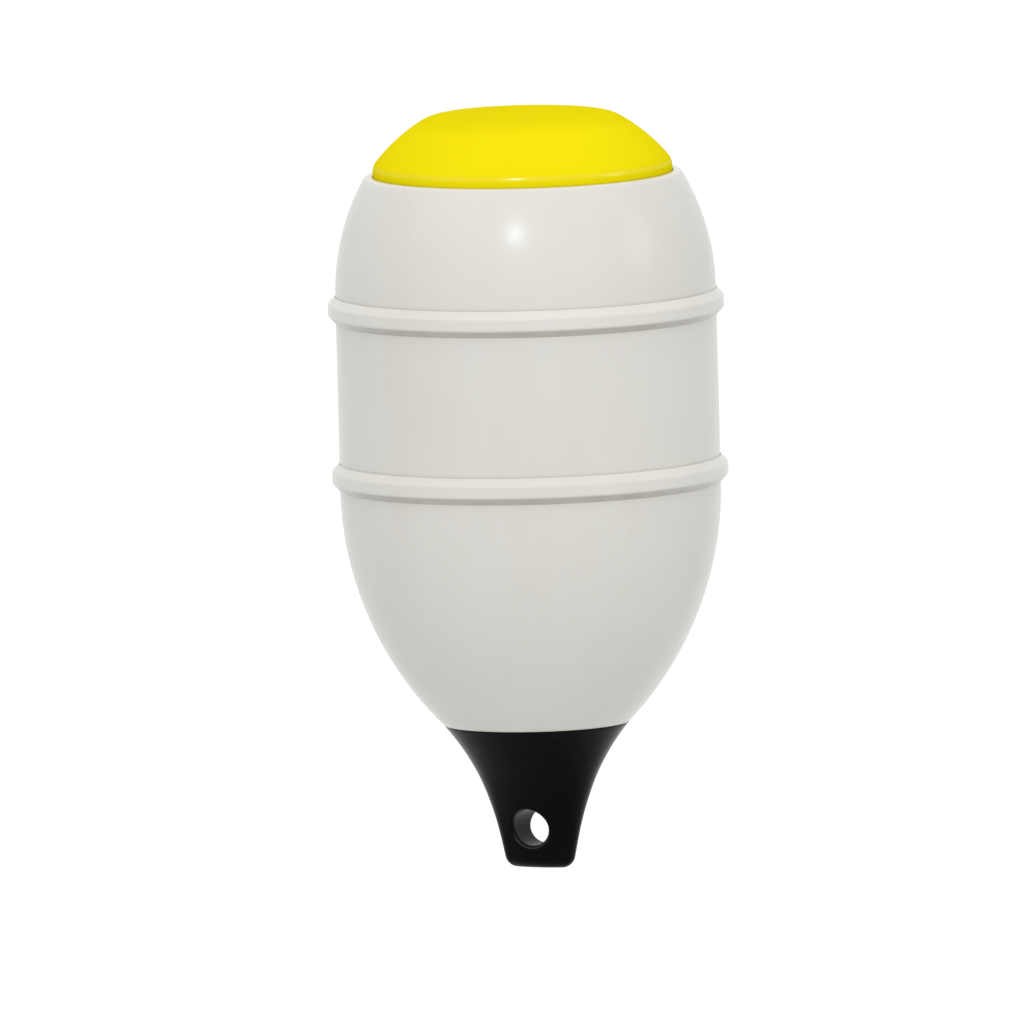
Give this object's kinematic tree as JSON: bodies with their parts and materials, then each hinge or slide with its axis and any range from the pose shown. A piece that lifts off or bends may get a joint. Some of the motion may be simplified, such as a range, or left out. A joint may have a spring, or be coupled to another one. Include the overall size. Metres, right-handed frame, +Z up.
{
  "type": "fishing buoy",
  "caption": "Upright hard-shell fishing float: domed hull with joint ribs, a seated crown cap, and a flared nose flattened round a rope eye.",
  "frame": {"origin": "on the buoy's axis midway between the two ribs, where it floats under its working load", "axes": "+Z up along the axis from the nose to the cap; +Y along the rope eye's bore; +X across it"},
  "size_m": [0.312, 0.312, 0.5976],
  "materials": {
    "cap_yellow": "smooth moulded, semi-gloss",
    "hull_white": "smooth moulded off-white, semi-gloss",
    "rib_white": "smooth moulded off-white, semi-gloss",
    "nose_black": "glossy black moulding"
  },
  "bodies": {
    "root": {"top_cap": "cap_yellow", "hull_dome": "hull_white", "upper_rib": "rib_white", "hull_barrel": "hull_white", "lower_rib": "rib_white", "hull_cone": "hull_white", "nose_eye": "nose_black"}
  },
  "joints": []
}
